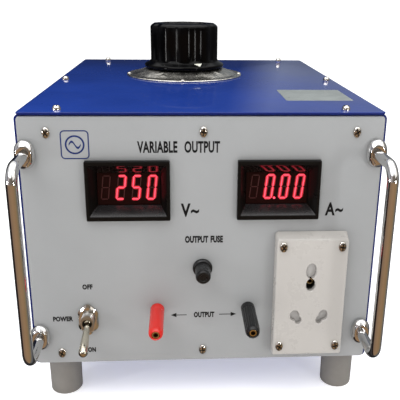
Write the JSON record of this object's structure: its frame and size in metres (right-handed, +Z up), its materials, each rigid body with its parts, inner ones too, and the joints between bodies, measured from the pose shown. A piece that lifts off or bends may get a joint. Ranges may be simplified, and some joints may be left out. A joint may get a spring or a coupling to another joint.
{
  "type": "variable autotransformer",
  "caption": "Bench variable autotransformer: blue sheet-metal case, grey front panel with meters, switch, fuse, binding posts, socket and handles, and a large control knob on top.",
  "frame": {"origin": "under the middle of the whole object, on the surface that the feet stand on", "axes": "+Z up, the front panel faces -Y, +X is to the right of someone facing the front panel"},
  "size_m": [0.3048, 0.4346, 0.3304],
  "materials": {
    "blue_paint": "glossy smooth enamel",
    "grey_paint": "semi-gloss enamel",
    "chrome": "polished plating",
    "nickel": "nickel plating, slightly warm",
    "brass": "machined",
    "steel": "plain steel",
    "aluminium": "cast and machined",
    "black_plastic": "moulded, slight sheen",
    "black_gloss_plastic": "moulded, glossy",
    "red_plastic": "moulded, glossy",
    "white_plastic": "moulded, warm white",
    "grey_plastic": "moulded, matt",
    "red_filter": "dark red transparent filter",
    "enamelled_wire": "enamelled copper wire under varnish",
    "core_steel": "wound electrical steel strip",
    "carbon": "carbon graphite",
    "fuse_glass": "clear glass tube"
  },
  "bodies": {
    "case": {"main_shell": "blue_paint", "top_cover": "blue_paint", "front_panel": "grey_paint", "rear_panel": "grey_paint", "foot_front_left": "grey_plastic", "foot_front_right": "grey_plastic", "foot_rear_left": "grey_plastic", "foot_rear_right": "grey_plastic", "handle_left": "chrome", "handle_right": "chrome", "handle_ferrule_left_lower": "chrome", "handle_ferrule_left_upper": "chrome", "handle_ferrule_right_lower": "chrome", "handle_ferrule_right_upper": "chrome", "cover_screw_left_front": "nickel", "cover_screw_left_middle": "nickel", "cover_screw_left_rear": "nickel", "cover_screw_right_front": "nickel", "cover_screw_right_middle": "nickel", "cover_screw_right_rear": "nickel", "panel_screw_top_left": "nickel", "panel_screw_top_middle": "nickel", "panel_screw_top_right": "nickel", "panel_screw_bottom_left": "nickel", "panel_screw_bottom_middle": "nickel", "voltmeter_case": "black_gloss_plastic", "voltmeter_display": "red_filter", "ammeter_case": "black_gloss_plastic", "ammeter_display": "red_filter", "switch_body": "steel", "switch_nut": "nickel", "fuse_holder": "black_plastic", "red_post_base": "brass", "black_post_base": "brass", "socket_plate": "white_plastic", "socket_screw_top_left": "nickel", "socket_screw_top_right": "nickel", "socket_screw_bottom_left": "nickel", "socket_screw_bottom_right": "nickel", "transformer_base": "aluminium", "ring_core": "core_steel", "winding": "enamelled_wire", "shaft_bushing": "brass", "dial_plate": "nickel", "terminal_block": "white_plastic", "current_transformer": "black_plastic", "mains_inlet": "black_plastic"},
    "control": {"control_knob": "black_gloss_plastic", "control_shaft": "steel", "brush_arm": "aluminium", "carbon_brush": "carbon"},
    "power_lever": {"switch_lever": "chrome"},
    "fuse_drawer": {"fuse_carrier": "black_plastic", "fuse_link": "fuse_glass"},
    "fuse_top": {"fuse_cap": "black_plastic"},
    "red_thread": {"red_post_insert": "brass"},
    "red_top": {"red_post_cap": "red_plastic"},
    "black_thread": {"black_post_insert": "brass"},
    "black_top": {"black_post_cap": "black_plastic"},
    "shutter": {"socket_shutter": "grey_plastic"}
  },
  "joints": [
    {"name": "knob_turn", "type": "hinge", "parent": "case", "child": "control", "pos_m": [-0.014, 0.0613, 0.2732], "axis": [0, 0, 1], "range_deg": [-24, 296]},
    {"name": "power_switch", "type": "hinge", "parent": "case", "child": "power_lever", "pos_m": [-0.1013, -0.1717, 0.088], "axis": [-1, 0, 0], "range_deg": [0, 40]},
    {"name": "fuse_draw", "type": "slide", "parent": "case", "child": "fuse_drawer", "axis": [0, -1, 0], "range_m": [0, 0.034]},
    {"name": "fuse_cap_turn", "type": "hinge", "parent": "fuse_drawer", "child": "fuse_top", "pos_m": [-0.0004, -0.1767, 0.136], "axis": [0, -1, 0], "range_deg": [0, 90]},
    {"name": "red_post_travel", "type": "slide", "parent": "case", "child": "red_thread", "axis": [0, -1, 0], "range_m": [0, 0.0055]},
    {"name": "red_post_turn", "type": "hinge", "parent": "red_thread", "child": "red_top", "pos_m": [-0.0403, -0.1867, 0.096], "axis": [0, -1, 0], "range_deg": [0, 1980]},
    {"name": "black_post_travel", "type": "slide", "parent": "case", "child": "black_thread", "axis": [0, -1, 0], "range_m": [0, 0.0055]},
    {"name": "black_post_turn", "type": "hinge", "parent": "black_thread", "child": "black_top", "pos_m": [0.0403, -0.1867, 0.096], "axis": [0, -1, 0], "range_deg": [0, 1980]},
    {"name": "shutter_slide", "type": "slide", "parent": "case", "child": "shutter", "axis": [0, 0, -1], "range_m": [0, 0.0146], "stiffness_N_per_m": 30, "springref_m": -0.006}
  ],
  "couplings": [
    {"joint": "red_post_turn", "follows": "red_post_travel", "rad_per_m": 6283.2},
    {"joint": "black_post_turn", "follows": "black_post_travel", "rad_per_m": 6283.2}
  ]
}
